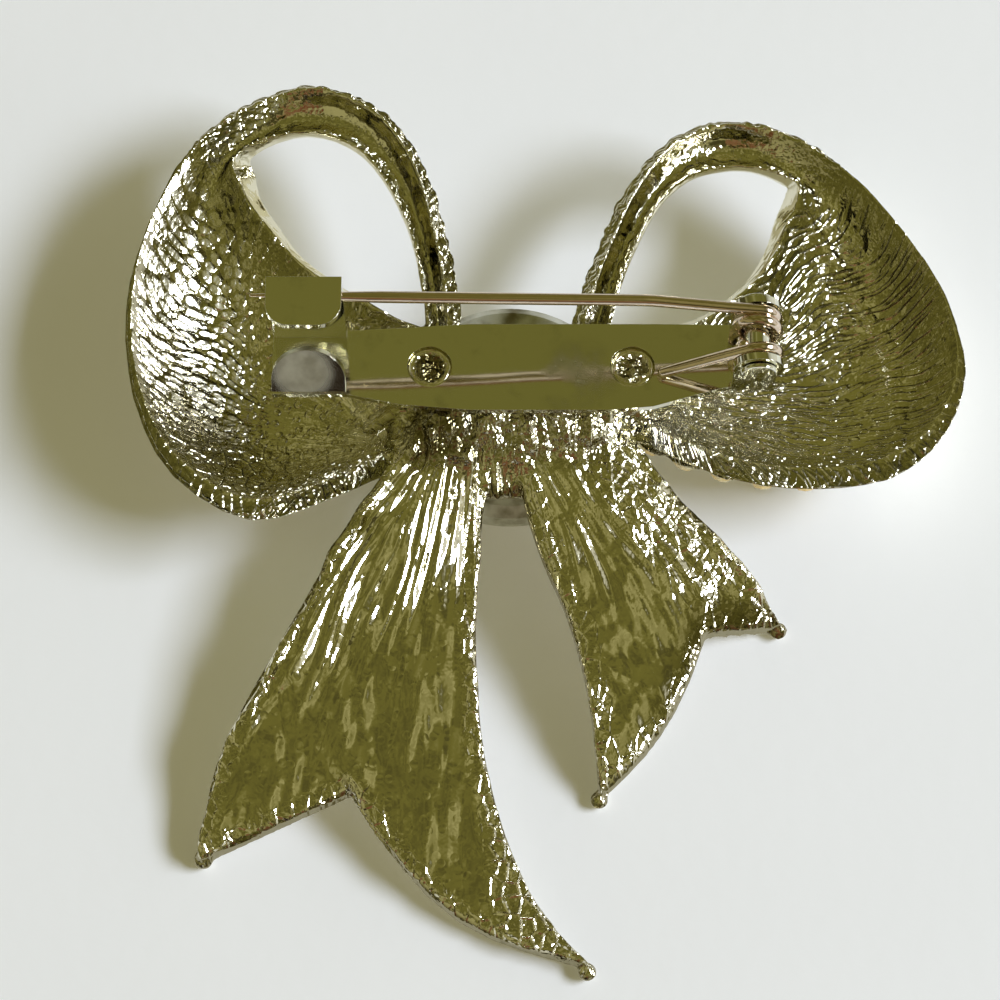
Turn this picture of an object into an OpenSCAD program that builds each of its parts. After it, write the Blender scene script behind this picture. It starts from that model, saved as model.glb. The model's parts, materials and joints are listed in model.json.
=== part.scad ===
// Bow brooch with a bar pin back, lying face down as it is seen from its back.
// Millimetres. X runs right and Y up as the back is looked at, and Z away from the front.
// Z = 0 is the surface it lies on, and X = Y = 0 is the middle of its outline.
// Inside the modules X = Y = 0 is the middle of the knot.

/* [Loops] */
// Reach of the left loop from the middle of the knot
left_reach = 24.1; // [21:0.1:28]
// Rise of the left loop above the middle of the knot
left_rise = 21.6; // [19.2:0.1:25]
// Reach of the right loop from the middle of the knot
right_reach = 28.4; // [25:0.1:32]
// Rise of the right loop above the middle of the knot
right_rise = 19.1; // [16:0.1:21]
// Height of the loops' rims above the table
rim_height = 8; // [7:0.1:9]
// Width of the polished lip inside each loop
lip_width = 1.9; // [0.8:0.1:2.4]
// Width of the rounded rim outside each loop
rim_width = 0.9; // [0.5:0.1:1.4]
// Height of the bead along the rims
rim_bead = 0.35; // [0.1:0.05:0.6]
// Depth of the gathers where a loop leaves the knot
gather_depth = 0.5; // [0.1:0.1:0.9]

/* [Tails] */
// Reach of the left tail below the middle of the knot
left_drop = 35.9; // [30:0.1:42]
// Spread of the left tail's outer tip
left_spread = 18.8; // [15:0.1:22]
// Reach of the right tail below the middle of the knot
right_drop = 25.2; // [21:0.1:30]
// Spread of the right tail's outer tip
right_spread = 17; // [14:0.1:20]
// Height of the tails' front face where they leave the knot
tail_lift = 5.7; // [4.5:0.1:6.4]
// Depth of the lengthwise folds in the tails
fold_depth = 0.55; // [0.1:0.05:0.9]
// Depth of the left tail's notch
left_notch = 6.8; // [3:0.1:7.5]
// Depth of the right tail's notch
right_notch = 3.9; // [2:0.1:5]
// Radius of the beads on the tails' tips
tip_bead = 0.58; // [0.5:0.02:0.9]

/* [Casting] */
// Thickness of the cast wall
cast_wall = 1.3; // [0.9:0.1:1.8]
// Height of the knot's flat top, where the pin plate sits
seat_height = 9.7; // [9:0.1:11]
// Height of the knot's front, where the round setting sits
knot_front = 3.5; // [3:0.1:4.5]
// Reach of the gathered metal to each side of the knot's middle
knot_reach = 10; // [9:0.1:11]
// Reach of the gathered metal below the knot's middle
knot_drop = 7; // [6.4:0.1:7.6]
// Radius of the knot's rounded corners
knot_round = 2.3; // [2:0.05:2.6]
// Radius of the knot's flat front
knot_front_radius = 4.6; // [4:0.1:5.5]
// Radius of the bars of metal gathered on the knot
gather_radius = 0.62; // [0.4:0.02:0.8]

/* [Round setting] */
// Radius of the round setting on the front of the knot
setting_radius = 7.3; // [6:0.1:9]
// Height of the setting's middle above the middle of the knot
setting_rise = 0.3; // [-0.5:0.1:1]
// Height of the setting's wall
setting_depth = 2.1; // [1.6:0.1:2.5]
// Thickness of the setting's wall and floor
setting_wall = 0.6; // [0.4:0.05:0.9]
// Height of the round stone's dome
dome_height = 1.4; // [0.8:0.1:1.8]

/* [Small stones] */
// Number of small stones along the right loop's lower edge
stone_count = 5; // [2:1:6]
// Radius of a small stone at its girdle
stone_radius = 1.05; // [0.8:0.05:1.3]

/* [Pin plate] */
// Thickness of the sheet that the pin plate is stamped from
sheet = 0.45; // [0.35:0.05:0.6]
// Width of the pin plate at its middle
plate_width = 5.8; // [5:0.1:7]
// Width of the plate at the catch
neck_width = 4.3; // [3.8:0.1:5]
// Height of the catch's middle above the plate's middle line
neck_rise = 0.3; // [0:0.1:0.5]
// Length of the catch head along the plate
catch_length = 4.5; // [3.5:0.1:5.5]
// Distance from the middle of the knot to the outer end of the catch
catch_reach = 14.5; // [13.5:0.1:17]
// Length over which the plate widens from the catch to its full width
catch_taper = 7.5; // [6:0.1:8.5]
// Distance from the middle of the knot to the hinge
hinge_reach = 15; // [14:0.1:17]
// Height of the upper ear's inner face above the plate's middle line
hinge_ear = 2.4; // [2.2:0.1:2.6]
// Distance from the middle of the knot to the left stud
left_stud = 4.9; // [4:0.1:5.5]
// Distance from the middle of the knot to the right stud
right_stud = 7.5; // [6.5:0.1:8]
// Radius of the two studs that hold the plate
stud_radius = 1.32; // [1:0.02:1.5]
// Height of the catch hook above the plate
hook_height = 7.3; // [6.5:0.1:8]
// Depth of the hook's rounded tab
hook_tab = 3.2; // [2.6:0.1:3.3]
// Radius of the tab's rounded corners
tab_round = 1.4; // [1:0.1:1.8]
// Length of the catch's rounded guard from the plate
guard_length = 3.2; // [2.6:0.1:4]
// Lean of the guard towards the hook, in degrees
guard_lean = 34; // [20:1:45]

/* [Pin] */
// Radius of the pin's wire
wire_radius = 0.36; // [0.3:0.02:0.42]
// Radius of the coil, measured to the middle of the wire
coil_radius = 1.2; // [1.1:0.05:1.5]
// Distance along the hinge from the coil's first turn to its last
coil_length = 2.55; // [2.5:0.05:3]
// Height of the hinge above the plate
hinge_height = 2.6; // [2.3:0.1:3]
// Distance from the middle of the knot to where the pin's taper starts
taper_reach = 8.1; // [6:0.1:9]
// How far the pin's tip stands past the catch
tip_past = 0.9; // [0.3:0.1:1.5]
// Clearance between the rivet and the coil
rivet_gap = 0.08; // [0.04:0.01:0.1]
// Clearance between pieces that sit against each other
seat_gap = 0.05; // [0.03:0.01:0.1]

/* [Hidden] */

// Steps between two rows of a table, and columns across a ribbon
LOOP_STEPS = 3;
TAIL_STEPS = 3;
LOOP_COLUMNS = 12;
TAIL_COLUMNS = 7;

// Sections of a loop, from the knot round the lobe and back along the arch. Places are
// shares of the loop's reach, rise and rim height. The drop is the share of the rim's
// height that the ribbon's front hangs down, and the lip a share of the lip's width.
//  inner x, inner y, inner z, outer x, outer y, outer z, drop, lip
LEFT_LOOP = [
    [-0.17,  0.13, 1.07, -0.20, -0.21, 0.80, 0.45, 0.3],
    [-0.28,  0.19, 1.04, -0.30, -0.23, 0.80, 0.55, 0.3],
    [-0.43,  0.29, 0.98, -0.46, -0.32, 0.86, 0.78, 0.5],
    [-0.55,  0.40, 0.91, -0.66, -0.40, 0.96, 0.95, 0.6],
    [-0.63,  0.51, 0.89, -0.86, -0.27, 1.00, 1.00, 0.7],
    [-0.69,  0.60, 0.89, -0.97, -0.03, 1.00, 0.95, 0.8],
    [-0.72,  0.68, 0.90, -1.00,  0.25, 1.00, 0.82, 0.9],
    [-0.74,  0.74, 0.92, -0.96,  0.52, 1.00, 0.65, 0.8],
    [-0.70,  0.79, 0.95, -0.84,  0.81, 1.00, 0.48, 0.3],
    [-0.61,  0.82, 0.98, -0.67,  0.96, 1.00, 0.38, 0.1],
    [-0.50,  0.82, 1.02, -0.50,  1.00, 1.02, 0.34, 0.1],
    [-0.39,  0.75, 1.05, -0.33,  0.90, 1.05, 0.32, 0.1],
    [-0.31,  0.62, 1.08, -0.22,  0.71, 1.08, 0.32, 0.1],
    [-0.25,  0.45, 1.10, -0.16,  0.47, 1.10, 0.32, 0.1],
    [-0.22,  0.28, 1.11, -0.13,  0.27, 1.11, 0.32, 0.1],
    [-0.20,  0.10, 1.11, -0.12,  0.09, 1.11, 0.32, 0.1],
];
RIGHT_LOOP = [
    [0.16,  0.13, 1.05, 0.17, -0.17, 0.80, 0.42, 0.4],
    [0.26,  0.16, 1.05, 0.27, -0.14, 0.79, 0.50, 0.4],
    [0.40,  0.20, 1.03, 0.39, -0.23, 0.81, 0.70, 0.5],
    [0.50,  0.31, 0.98, 0.55, -0.31, 0.84, 0.88, 0.5],
    [0.56,  0.41, 0.92, 0.73, -0.325, 0.88, 1.00, 0.6],
    [0.60,  0.51, 0.90, 0.86, -0.275, 0.93, 1.00, 0.7],
    [0.62,  0.59, 0.90, 0.955, -0.14, 0.97, 0.93, 0.7],
    [0.64,  0.65, 0.91, 1.00,  0.06, 1.00, 0.82, 0.7],
    [0.65,  0.70, 0.93, 0.97,  0.33, 1.00, 0.66, 0.6],
    [0.65,  0.75, 0.95, 0.87,  0.60, 1.00, 0.50, 0.4],
    [0.61,  0.78, 0.98, 0.77,  0.80, 1.00, 0.42, 0.2],
    [0.55,  0.80, 1.00, 0.64,  0.95, 1.00, 0.36, 0.1],
    [0.48,  0.80, 1.01, 0.49,  1.00, 1.00, 0.34, 0.1],
    [0.40,  0.76, 1.03, 0.36,  0.92, 1.02, 0.32, 0.1],
    [0.33,  0.65, 1.06, 0.26,  0.73, 1.05, 0.32, 0.1],
    [0.27,  0.47, 1.08, 0.20,  0.52, 1.08, 0.32, 0.1],
    [0.23,  0.29, 1.11, 0.15,  0.31, 1.11, 0.32, 0.1],
    [0.20,  0.10, 1.11, 0.12,  0.10, 1.11, 0.32, 0.1],
];

// Sections of a tail from the knot to its tips, as shares of its spread, drop and lift
//  left x, left y, left z, right x, right y, right z
LEFT_TAIL = [
    [-0.35, -0.09, 1.00, -0.04, -0.11, 1.04],
    [-0.41, -0.15, 0.93, -0.08, -0.19, 0.98],
    [-0.52, -0.24, 0.88, -0.10, -0.32, 0.94],
    [-0.70, -0.41, 0.74, -0.11, -0.43, 0.85],
    [-0.855, -0.55, 0.53, -0.10, -0.56, 0.65],
    [-0.945, -0.65, 0.33, -0.07, -0.67, 0.45],
    [-0.98, -0.73, 0.15,  0.01, -0.80, 0.22],
    [-0.995, -0.77, 0.07,  0.11, -0.90, 0.11],
    [-1.00, -0.80, 0.00,  0.26, -0.98, 0.00],
];
RIGHT_TAIL = [
    [0.04, -0.16, 1.04, 0.40, -0.08, 1.00],
    [0.05, -0.29, 0.98, 0.46, -0.13, 0.92],
    [0.12, -0.44, 0.87, 0.58, -0.25, 0.84],
    [0.20, -0.56, 0.73, 0.725, -0.345, 0.72],
    [0.26, -0.69, 0.53, 0.845, -0.425, 0.55],
    [0.30, -0.83, 0.30, 0.93, -0.50, 0.35],
    [0.32, -0.98, 0.00, 1.00, -0.54, 0.00],
];
// Gathers across a loop, and the rows of its table over which they fade
LOOP_GATHERS = 3;
GATHER_ROWS = 4.5;
// Where the notch lies across a tail, from its left edge, and how its sides curve
LEFT_NOTCH = [0.41, 1.0, 3.9];
RIGHT_NOTCH = [0.58, 3.6, 1.0];
// Share of the lift that the middle of a tail stands above its edges, and the share of the
// tail's length over which it grows to that from the knot
TAIL_CROWN = 0.22;
TAIL_CROWN_START = 0.3;
// Rise of a notch above the tips, as a share of its depth, and the power with which the
// pull of a notch grows along the tail
NOTCH_RISE = 0.24;
NOTCH_FADE = 1.3;

// Corners of the knot's mass, as shares of its reach, its drop, the seat's height and the
// radius of its rounded corners
KNOT_CORNERS = [
    [-0.54, 0.04, 0.66, 1.0], [0.62, 0.05, 0.66, 1.0],
    [-0.42, -0.34, 0.70, 1.0], [0.48, -0.30, 0.70, 1.0],
    [-0.64, -0.66, 0.60, 0.52], [-0.16, -0.82, 0.61, 0.52],
    [0.08, -0.81, 0.61, 0.52], [0.62, -0.50, 0.60, 0.52]];
// Bars gathered on the knot's back, each from near the plate to its end, in the same shares
//  start x, start y, end x, end y, end height
KNOT_BARS = [
    [-0.42, -0.27, -0.69, -0.79, 0.66],
    [-0.31, -0.30, -0.50, -1.02, 0.65],
    [-0.18, -0.32, -0.29, -1.04, 0.66],
    [-0.06, -0.33, -0.09, -0.86, 0.70],
    [ 0.07, -0.32,  0.09, -0.88, 0.70],
    [ 0.20, -0.31,  0.28, -1.01, 0.65],
    [ 0.34, -0.29,  0.47, -0.84, 0.66],
    [ 0.46, -0.26,  0.66, -0.62, 0.67],
    [-0.52, -0.09, -0.86, -0.37, 0.70],
    [-0.54,  0.11, -0.92,  0.14, 0.74],
    [ 0.62, -0.11,  0.92, -0.20, 0.72],
    [ 0.64,  0.11,  0.98,  0.20, 0.76],
];

// Small stones lie in a row near the right loop's outer edge: first row of the table
// that carries one, rows from one to the next, and share across the ribbon
STONE_FIRST = 1.45;
STONE_PITCH = 0.56;
STONE_ACROSS = 0.84;
STONE_FACETS = 8;
stone_crown = stone_radius * 0.45;
stone_pavilion = stone_radius * 0.8;
stone_table = stone_radius * 0.58;
stone_proud = stone_radius * 0.35;
stone_cup = stone_radius * 1.3;

// The whole stands with the middle of its outline on the origin
frame_shift = [(left_reach - right_reach) / 2, (left_drop - max(left_rise, right_rise)) / 2, 0];

plate_bottom = seat_height + seat_gap;
plate_top = plate_bottom + sheet;
stud_hole = stud_radius + seat_gap;
stud_height = seat_gap + sheet * 0.6;
saddle_radius = plate_width * 0.36;
hinge_axis = plate_top + hinge_height;
rivet_radius = coil_radius - wire_radius - rivet_gap;
rivet_head = rivet_radius + 0.35;
rivet_head_length = 0.3;
ear_radius = coil_radius + wire_radius - 0.05;
// Turns of the coil along the hinge, and the two ears outside them
turn_pitch = wire_radius * 1.95;
stem_turn = hinge_ear - seat_gap - wire_radius;
fixed_turn = stem_turn - coil_length;
low_ear = fixed_turn - wire_radius - seat_gap;
// Slope of the short end of the wire down to the plate
tail_angle = 33;

// The catch: hook wall behind the pin, its tab over the pin, and the guard in front
neck_top = neck_rise + neck_width / 2;
neck_bottom = neck_rise - neck_width / 2;
hook_wall = neck_top - sheet;
catch_middle = -catch_reach + catch_length / 2;
tab_bottom = plate_top + hook_height - sheet;
pin_at_catch = [catch_middle, hook_wall - wire_radius - seat_gap, tab_bottom - wire_radius - seat_gap];
// The pin leaves the coil's top, bends up twice and runs straight to the catch. The two
// bends are measured from the coil's top.
FIRST_BEND = [-1.7, 0, 0.25];
SECOND_BEND = [-6.5, 0.06, 1.1];
wire_line = coil_radius + wire_radius * 0.12;
bend_radius = wire_radius * 1.03;
coil_top = [hinge_reach, stem_turn, hinge_axis + wire_line];
first_bend = coil_top + FIRST_BEND;
second_bend = coil_top + SECOND_BEND;
straight = second_bend[0] - pin_at_catch[0];
taper_start = along(second_bend, pin_at_catch, (second_bend[0] + taper_reach) / straight);
pin_tip = along(second_bend, pin_at_catch, (second_bend[0] + catch_reach + tip_past) / straight);

function along(p, q, share) = p + (q - p) * share;
function unit(v) = v / norm(v);

// A smooth curve through the rows of a table, at row u
function spline(rows, u) =
    let (
        last = len(rows) - 1,
        i = min(floor(u), last - 1),
        f = u - i,
        a = rows[max(i - 1, 0)],
        b = rows[i],
        c = rows[i + 1],
        d = rows[min(i + 2, last)])
    b + f / 2 * ((c - a) + f * ((2 * a - 5 * b + 4 * c - d) + f * (3 * (b - c) + d - a)));

function rows_of(table, steps) =
    [for (k = [0:(len(table) - 1) * steps]) k / steps];

// Shares across a ribbon, closer together at its edges
function columns_of(count) = [for (j = [0:count - 1]) (1 - cos(180 * j / (count - 1))) / 2];

// Even columns across a tail, as many on each side of its notch
function tail_columns(notch, count) = concat(
    [for (j = [0:count - 1]) notch[0] * j / count],
    [for (j = [0:count]) along(notch[0], 1, j / count)]);

function bowl(t) = pow(max(0, sin(180 * t)), 0.75);
function bump(t, at, wide) = exp(-pow((t - at) / wide, 2));

// One point of a loop's front or back skin, at row u of its table and share t across
function loop_point(table, reach, rise, u, t, is_back) =
    let (
        row = spline(table, u),
        inner = [row[0] * reach, row[1] * rise],
        outer = [row[3] * reach, row[4] * rise],
        out = unit(outer - inner),
        height = along(row[2], row[5], t) * rim_height,
        lip = row[7] * lip_width,
        hang = height * max(0, 1 - row[6] * bowl(t)),
        edge = along(rim_width * 0.5 + lip, rim_width * 1.3, t),
        fade = max(0, 1 - u / GATHER_ROWS) * bowl(t),
        gather = gather_depth * fade * (1 - cos(360 * LOOP_GATHERS * t)) / 2,
        place = is_back
            ? along(inner, outer - out * rim_width, t)
            : along(inner - out * lip, outer, t),
        z = is_back
            ? hang + cast_wall * bowl(t) + gather + rim_bead * bump(t, 0.95, 0.06)
            : hang - edge * (1 - bowl(t)))
    [place[0], place[1], z];

function notch_shape(t, notch) =
    t < notch[0]
    ? pow(t / notch[0], notch[1])
    : pow((1 - t) / (1 - notch[0]), notch[2]);

// One point of a tail's front or back skin
function tail_point(table, spread, drop, notch, notch_depth, folds, u, t, is_back) =
    let (
        row = spline(table, u),
        s = u / (len(table) - 1),
        left = [row[0] * spread, row[1] * drop],
        right = [row[3] * spread, row[4] * drop],
        cut = notch_depth * notch_shape(t, notch) * pow(s, NOTCH_FADE),
        place = along(left, right, t) + [0, cut],
        crown = TAIL_CROWN * min(1, s / TAIL_CROWN_START) * sin(180 * t),
        height = tail_lift * along(row[2], row[5], t) * (1 + crown) + NOTCH_RISE * cut,
        fold = fold_depth * (1 - s * 0.7) * (1 - cos(360 * folds * t)) / 2,
        bead = rim_bead * (bump(t, 0.03, 0.04) + bump(t, 0.97, 0.04)),
        front = max(0, height) + fold * min(1, (1 - s) * 4))
    [place[0], place[1], is_back ? front + cast_wall + bead : front];

// A closed solid between two skins of the same rows and columns
module shell(back, front) {
    rows = len(back);
    columns = len(back[0]);
    points = concat([for (row = back) each row], [for (row = front) each row]);
    under = rows * columns;
    faces = concat(
        [for (i = [0:rows - 2], j = [0:columns - 2])
            let (a = i * columns + j)
            each [[a, a + 1, a + columns], [a + 1, a + columns + 1, a + columns]]],
        [for (i = [0:rows - 2], j = [0:columns - 2])
            let (a = under + i * columns + j)
            each [[a, a + columns, a + 1], [a + 1, a + columns, a + columns + 1]]],
        [for (i = [0:rows - 2], j = [0, columns - 1])
            let (a = i * columns + j, b = a + columns, c = a + under, d = b + under)
            each j == 0 ? [[a, b, c], [b, d, c]] : [[a, c, b], [b, c, d]]],
        [for (i = [0, rows - 1], j = [0:columns - 2])
            let (a = i * columns + j, b = a + 1, c = a + under, d = b + under)
            each i == 0 ? [[a, c, b], [b, c, d]] : [[a, b, c], [b, d, c]]]);
    polyhedron(points, faces);
}

// The right loop runs the other way round, so its columns are taken from the outside in
module loop(table, reach, rise, from_outside) {
    rows = rows_of(table, LOOP_STEPS);
    columns = [for (t = columns_of(LOOP_COLUMNS)) from_outside ? 1 - t : t];
    shell(
        [for (u = rows) [for (t = columns) loop_point(table, reach, rise, u, t, true)]],
        [for (u = rows) [for (t = columns) loop_point(table, reach, rise, u, t, false)]]);
}

module tail(table, spread, drop, notch, notch_depth, folds) {
    rows = rows_of(table, TAIL_STEPS);
    columns = tail_columns(notch, TAIL_COLUMNS);
    shell(
        [for (u = rows) [for (t = columns)
            tail_point(table, spread, drop, notch, notch_depth, folds, u, t, true)]],
        [for (u = rows) [for (t = columns)
            tail_point(table, spread, drop, notch, notch_depth, folds, u, t, false)]]);
}

module tip(x, y) {
    translate([x, y, tip_bead]) sphere(tip_bead, $fn = 16);
}

// The four rounded tips of the tails
module tail_tips() {
    tip(-left_spread + tip_bead / 2, LEFT_TAIL[8][1] * left_drop + tip_bead / 2);
    tip(LEFT_TAIL[8][3] * left_spread - tip_bead / 2, -left_drop + tip_bead);
    tip(RIGHT_TAIL[6][0] * right_spread, -right_drop + tip_bead);
    tip(right_spread - tip_bead / 2, RIGHT_TAIL[6][4] * right_drop);
}

module knot() {
    hull() {
        for (corner = KNOT_CORNERS)
            translate([corner[0] * knot_reach, corner[1] * knot_drop, corner[2] * seat_height])
                sphere(corner[3] * knot_round, $fn = 18);
        translate([0, -knot_round / 3, knot_front])
            cylinder(knot_round / 2, knot_front_radius, knot_front_radius, $fn = 28);
    }
    // Flat saddle under the pin plate
    hull() for (x = [-left_stud, right_stud])
        translate([x, 0, seat_height / 2])
            cylinder(seat_height / 2, saddle_radius * 1.1, saddle_radius, $fn = 24);
    for (bar = KNOT_BARS)
        hull() {
            translate([bar[0] * knot_reach, bar[1] * knot_drop, seat_height - gather_radius * 1.6])
                sphere(gather_radius, $fn = 8);
            translate([bar[2] * knot_reach, bar[3] * knot_drop, bar[4] * seat_height])
                sphere(gather_radius, $fn = 8);
        }
}

// The studs reach through the plate's holes
module studs() {
    for (x = [-left_stud, right_stud])
        translate([x, 0, seat_height - sheet])
            cylinder(sheet + stud_height, stud_radius, stud_radius, $fn = 24);
}

// A point on the right loop's front, and the direction out of it
function stone_seat(i) =
    let (
        u = STONE_FIRST + STONE_PITCH * i,
        p = loop_point(RIGHT_LOOP, right_reach, right_rise, u, STONE_ACROSS, false),
        du = loop_point(RIGHT_LOOP, right_reach, right_rise, u + 0.1, STONE_ACROSS, false) - p,
        dt = loop_point(RIGHT_LOOP, right_reach, right_rise, u, STONE_ACROSS + 0.02, false) - p)
    [p, unit(cross(du, dt))];

// Puts its children at stone i, with their Z out of the loop's front
module at_stone(i) {
    seat = stone_seat(i);
    out = seat[1][2] < 0 ? seat[1] : -seat[1];
    translate(seat[0]) rotate([0, acos(out[2]), atan2(out[1], out[0])]) children();
}

module stone_cups() {
    for (i = [0:stone_count - 1]) at_stone(i) {
        translate([0, 0, -cast_wall * 0.8])
            cylinder(cast_wall * 0.8 + stone_proud, stone_cup, stone_cup, $fn = 16);
    }
}

module stone_holes() {
    for (i = [0:stone_count - 1]) at_stone(i)
        translate([0, 0, stone_proud - stone_pavilion - seat_gap])
            cylinder(stone_pavilion + 2 * seat_gap, stone_radius * 0.35,
                stone_radius + seat_gap, $fn = 16);
}

module bow_casting() color("#8c8a5a") translate(frame_shift)
    difference() {
        union() {
            loop(LEFT_LOOP, left_reach, left_rise, false);
            loop(RIGHT_LOOP, right_reach, right_rise, true);
            tail(LEFT_TAIL, left_spread, left_drop, LEFT_NOTCH, left_notch, 3);
            tail(RIGHT_TAIL, right_spread, right_drop, RIGHT_NOTCH, right_notch, 2);
            tail_tips();
            knot();
            studs();
            stone_cups();
        }
        stone_holes();
    }

// A shallow round cup, open to the front, that is soldered under the knot
module centre_setting() color("#9a9a90") translate(frame_shift)
    translate([0, setting_rise, knot_front - seat_gap]) rotate([180, 0, 0]) rotate_extrude($fn = 96)
        polygon([
            [0, 0], [setting_radius - setting_wall, 0], [setting_radius, setting_wall],
            [setting_radius, setting_depth - 0.2], [setting_radius - 0.2, setting_depth],
            [setting_radius - setting_wall, setting_depth],
            [setting_radius - setting_wall, setting_wall], [0, setting_wall]]);

// A plain domed stone in the setting
module centre_stone() color("#d8d2be") translate(frame_shift)
    translate([0, setting_rise, knot_front - seat_gap * 2 - setting_wall]) rotate([180, 0, 0]) {
        radius = setting_radius - setting_wall - seat_gap;
        girdle = setting_depth - setting_wall - 0.4;
        ball = (radius * radius + dome_height * dome_height) / (2 * dome_height);
        cylinder(girdle, radius, radius, $fn = 96);
        rotate_extrude($fn = 96) intersection() {
            translate([0, girdle + dome_height - ball]) circle(ball, $fn = 180);
            translate([0, girdle - 0.05]) square([radius, dome_height + 0.1]);
        }
    }

// A round stone cut with a table, a ring of crown facets and a pavilion
module cut_stone(i) {
    color("#d9b44a") translate(frame_shift) at_stone(i) translate([0, 0, stone_proud]) {
        cylinder(stone_crown, stone_radius, stone_table, $fn = STONE_FACETS);
        translate([0, 0, -stone_pavilion])
            cylinder(stone_pavilion, stone_radius * 0.3, stone_radius, $fn = STONE_FACETS);
    }
}

// The plate's outline, from the catch head at the left to the hinge at the right
module plate_outline() {
    wide = plate_width / 2;
    head = -catch_reach + catch_length;
    end = hinge_reach - ear_radius * 0.5;
    shoulder = hinge_reach - 2;
    polygon([
        [-catch_reach, neck_bottom], [head, neck_bottom],
        [head + catch_taper * 0.44, along(neck_bottom, -wide, 0.65)], [head + catch_taper, -wide],
        [right_stud - stud_radius * 1.14, -wide],
        [right_stud + stud_radius * 0.91, along(-wide, low_ear - sheet, 0.15)],
        [shoulder, low_ear - sheet], [end, low_ear - sheet], [end, hinge_ear + sheet],
        [shoulder, hinge_ear + sheet], [right_stud + stud_radius * 1.14, wide],
        [head + catch_taper, wide], [head + catch_taper * 0.44, along(neck_top, wide, 0.4)],
        [head, neck_top], [-catch_reach, neck_top]]);
}

// The outline of the hook's tab, which ends flat between two rounded corners
module tab_outline() {
    middle = catch_length / 2;
    hull() {
        translate([-middle, -tab_round / 2]) square([catch_length, tab_round / 2]);
        for (x = [-1, 1])
            translate([x * (middle - tab_round), tab_round - hook_tab]) circle(tab_round, $fn = 64);
    }
}

// The outline of the guard, which ends in half an ellipse
module guard_outline() {
    straight = guard_length * 0.35;
    translate([-catch_length / 2, 0]) square([catch_length, straight]);
    translate([0, straight]) intersection() {
        resize([catch_length, 2 * (guard_length - straight)]) circle(catch_length / 2, $fn = 64);
        translate([-catch_length / 2, 0]) square([catch_length, guard_length]);
    }
}

// An ear that holds the rivet, from the plate's top
module ear(y) {
    translate([hinge_reach, y + sheet, hinge_axis]) rotate([90, 0, 0]) linear_extrude(sheet)
        difference() {
            union() {
                circle(ear_radius, $fn = 64);
                translate([-ear_radius, -hinge_height - sheet])
                    square([ear_radius * 2 - 0.4, hinge_height + sheet]);
            }
            circle(rivet_radius + seat_gap, $fn = 48);
        }
}

module pin_plate() color("#6f6b35") translate(frame_shift) {
    difference() {
        translate([0, 0, plate_bottom]) linear_extrude(sheet) plate_outline();
        for (x = [-left_stud, right_stud])
            translate([x, 0, plate_bottom - 1]) cylinder(sheet + 2, stud_hole, stud_hole, $fn = 64);
    }
    // Hook wall and its tab
    translate([-catch_reach, hook_wall, plate_bottom])
        cube([catch_length, sheet, hook_height + sheet]);
    translate([catch_middle, hook_wall + sheet, tab_bottom]) linear_extrude(sheet) tab_outline();
    // Guard in front of the pin, bent up from the plate's lower edge
    translate([catch_middle, neck_bottom, plate_top - sheet / 2]) rotate([90 - guard_lean, 0, 0])
        translate([0, 0, -sheet]) linear_extrude(sheet) guard_outline();
    ear(hinge_ear);
    ear(low_ear - sheet);
}

// The rivet through both ears and the coil, with a head outside each ear
module hinge_rivet() color("#8f8b60") translate(frame_shift) {
    low = low_ear - sheet;
    high = hinge_ear + sheet;
    translate([hinge_reach, high + seat_gap, hinge_axis]) rotate([90, 0, 0])
        cylinder(high - low + 2 * seat_gap, rivet_radius, rivet_radius, $fn = 48);
    for (y = [high + seat_gap + rivet_head_length, low - seat_gap])
        translate([hinge_reach, y, hinge_axis]) rotate([90, 0, 0])
            cylinder(rivet_head_length, rivet_head, rivet_head, $fn = 48);
}

// Turns its children's Z to point along way
module pointed(way) rotate([0, acos(way[2] / norm(way)), atan2(way[1], way[0])]) children();

// Turns of the coil side by side: the first at y, and each next one a pitch lower
module turns(y, count) {
    translate([hinge_reach, y, hinge_axis]) rotate([90, 0, 0]) rotate_extrude($fn = 64)
        for (i = [0:count - 1])
            translate([coil_radius, i * turn_pitch]) circle(wire_radius, $fn = 24);
}

// A straight length of wire from p to q, tapered if its end radius is smaller
module wire(p, q, start_radius, end_radius) {
    way = q - p;
    translate(p) pointed(way) cylinder(norm(way), start_radius, end_radius, $fn = 32);
}

// A ball that rounds off the wire's bend at place, its poles on the wire's line
module bend(place, way) translate(place) pointed(way) sphere(bend_radius, $fn = 32);

// The coil's last turn and the short end that bears on the plate
module spring_tail() color("#a39a7c") translate(frame_shift) {
    turns(fixed_turn, 1);
    start = [hinge_reach - wire_line * sin(tail_angle), fixed_turn,
        hinge_axis + wire_line * cos(tail_angle)];
    reach = (start[2] - plate_top - wire_radius - seat_gap) / sin(tail_angle);
    wire(start, start - reach * [cos(tail_angle), 0, sin(tail_angle)], wire_radius, wire_radius);
}

// The pin with the coil's other two turns
module pin_stem() color("#b3a68a") translate(frame_shift) {
    turns(stem_turn, 2);
    bend(coil_top, FIRST_BEND);
    bend(first_bend, SECOND_BEND - FIRST_BEND);
    bend(second_bend, pin_at_catch - second_bend);
    bend(taper_start, pin_at_catch - second_bend);
    wire(coil_top, first_bend, wire_radius, wire_radius);
    wire(first_bend, second_bend, wire_radius, wire_radius);
    wire(second_bend, taper_start, wire_radius, wire_radius);
    wire(taper_start, pin_tip, wire_radius, wire_radius * 0.25);
}

bow_casting();
centre_setting();
centre_stone();
pin_plate();
hinge_rivet();
spring_tail();
pin_stem();
for (i = [0:stone_count - 1])
    cut_stone(i);
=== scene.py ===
"""Dresses a bow brooch, seen from its back, for rendering."""

import json
import math

import bmesh
import bpy
import numpy as np
from bpy.props import FloatProperty, FloatVectorProperty, IntProperty, PointerProperty
from mathutils import Matrix, Vector, kdtree, noise


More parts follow.
